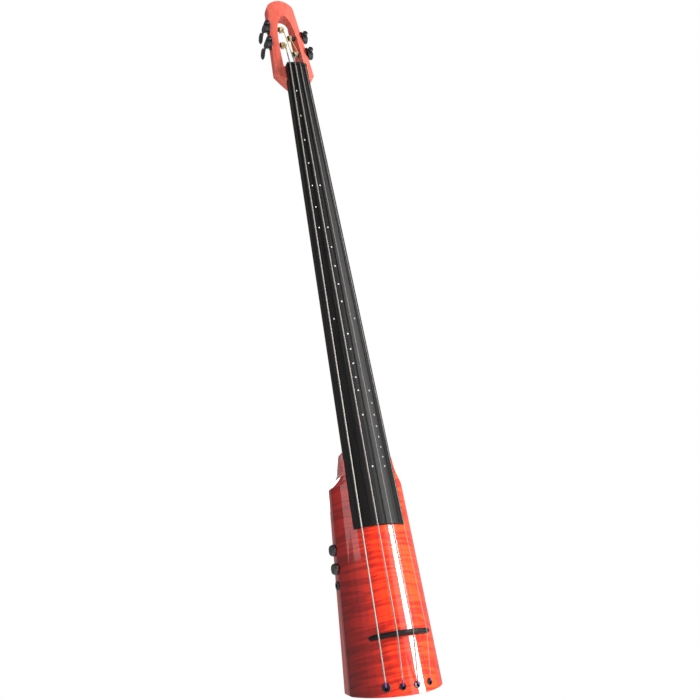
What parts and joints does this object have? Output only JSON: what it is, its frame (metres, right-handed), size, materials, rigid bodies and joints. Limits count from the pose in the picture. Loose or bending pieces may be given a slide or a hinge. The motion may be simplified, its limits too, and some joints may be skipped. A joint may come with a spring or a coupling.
{
  "type": "electric double bass",
  "caption": "Slim solid-body upright electric bass: arched body, long fingerboard, slotted head with worm tuners, ebony bridge bar and key-slot string anchors.",
  "frame": {"origin": "centre of the flat seat for the stand, on the body's back", "axes": "+Z along the strings towards the head, +Y out of the back, +X to the right seen from the front"},
  "size_m": [0.1566, 0.1064, 1.3401],
  "materials": {
    "flamed_top": "high gloss over flamed figure",
    "core": "high gloss",
    "neck_wood": "satin",
    "ebony": "satin",
    "string_steel": "wound",
    "steel": "plain",
    "brass": "plain",
    "black_metal": "satin black",
    "black_plastic": "satin"
  },
  "bodies": {
    "instrument": {"body": "core", "bridge": "ebony", "bridge_insert_1": "brass", "bridge_insert_2": "brass", "bridge_post_1": "steel", "bridge_post_2": "steel", "cavity_cover": "black_plastic", "control_pot_1": "steel", "control_pot_2": "steel", "fingerboard": "ebony", "jack_socket": "black_plastic", "neck": "neck_wood", "nut": "ebony", "stand_insert": "brass", "string_1": "string_steel", "string_2": "string_steel", "string_3": "string_steel", "string_4": "string_steel", "string_anchor_1": "black_metal", "string_anchor_2": "black_metal", "string_anchor_3": "black_metal", "string_anchor_4": "black_metal", "top_plate": "flamed_top", "truss_nut": "brass", "truss_rod": "steel", "tuner_housing_1": "black_metal", "tuner_housing_2": "black_metal", "tuner_housing_3": "black_metal", "tuner_housing_4": "black_metal"},
    "tuner_key_1": {"tuner_key_1": "black_metal"},
    "tuner_post_1": {"tuner_post_1": "black_metal"},
    "tuner_key_2": {"tuner_key_2": "black_metal"},
    "tuner_post_2": {"tuner_post_2": "black_metal"},
    "tuner_key_3": {"tuner_key_3": "black_metal"},
    "tuner_post_3": {"tuner_post_3": "black_metal"},
    "tuner_key_4": {"tuner_key_4": "black_metal"},
    "tuner_post_4": {"tuner_post_4": "black_metal"},
    "knob_1": {"knob_1": "black_plastic", "control_shaft_1": "steel"},
    "knob_2": {"knob_2": "black_plastic", "control_shaft_2": "steel"}
  },
  "joints": [
    {"name": "key_turn_1", "type": "hinge", "parent": "instrument", "child": "tuner_key_1", "pos_m": [-0.03948, -0.03465, 0.9385], "axis": [0, 1, 0], "continuous": true},
    {"name": "post_turn_1", "type": "hinge", "parent": "instrument", "child": "tuner_post_1", "pos_m": [-0.00388, -0.03465, 0.9305], "axis": [1, 0, 0], "continuous": true},
    {"name": "key_turn_2", "type": "hinge", "parent": "instrument", "child": "tuner_key_2", "pos_m": [-0.03655, -0.03045, 0.9805], "axis": [0, 1, 0], "continuous": true},
    {"name": "post_turn_2", "type": "hinge", "parent": "instrument", "child": "tuner_post_2", "pos_m": [-0.00094, -0.03045, 0.9725], "axis": [1, 0, 0], "continuous": true},
    {"name": "key_turn_3", "type": "hinge", "parent": "instrument", "child": "tuner_key_3", "pos_m": [0.04095, -0.03675, 0.9175], "axis": [0, 1, 0], "continuous": true},
    {"name": "post_turn_3", "type": "hinge", "parent": "instrument", "child": "tuner_post_3", "pos_m": [0.00536, -0.03675, 0.9095], "axis": [1, 0, 0], "continuous": true},
    {"name": "key_turn_4", "type": "hinge", "parent": "instrument", "child": "tuner_key_4", "pos_m": [0.03802, -0.03255, 0.9595], "axis": [0, 1, 0], "continuous": true},
    {"name": "post_turn_4", "type": "hinge", "parent": "instrument", "child": "tuner_post_4", "pos_m": [0.00242, -0.03255, 0.9515], "axis": [1, 0, 0], "continuous": true},
    {"name": "knob_turn_1", "type": "hinge", "parent": "instrument", "child": "knob_1", "pos_m": [-0.06779, -0.0025, -0.0565], "axis": [-1, 0, 0], "range_deg": [-150, 150]},
    {"name": "knob_turn_2", "type": "hinge", "parent": "instrument", "child": "knob_2", "pos_m": [-0.06921, -0.0025, -0.0865], "axis": [-1, 0, 0], "range_deg": [-150, 150]}
  ],
  "couplings": [
    {"joint": "post_turn_1", "follows": "key_turn_1", "ratio": 0.0625},
    {"joint": "post_turn_2", "follows": "key_turn_2", "ratio": 0.0625},
    {"joint": "post_turn_3", "follows": "key_turn_3", "ratio": 0.0625},
    {"joint": "post_turn_4", "follows": "key_turn_4", "ratio": 0.0625}
  ]
}
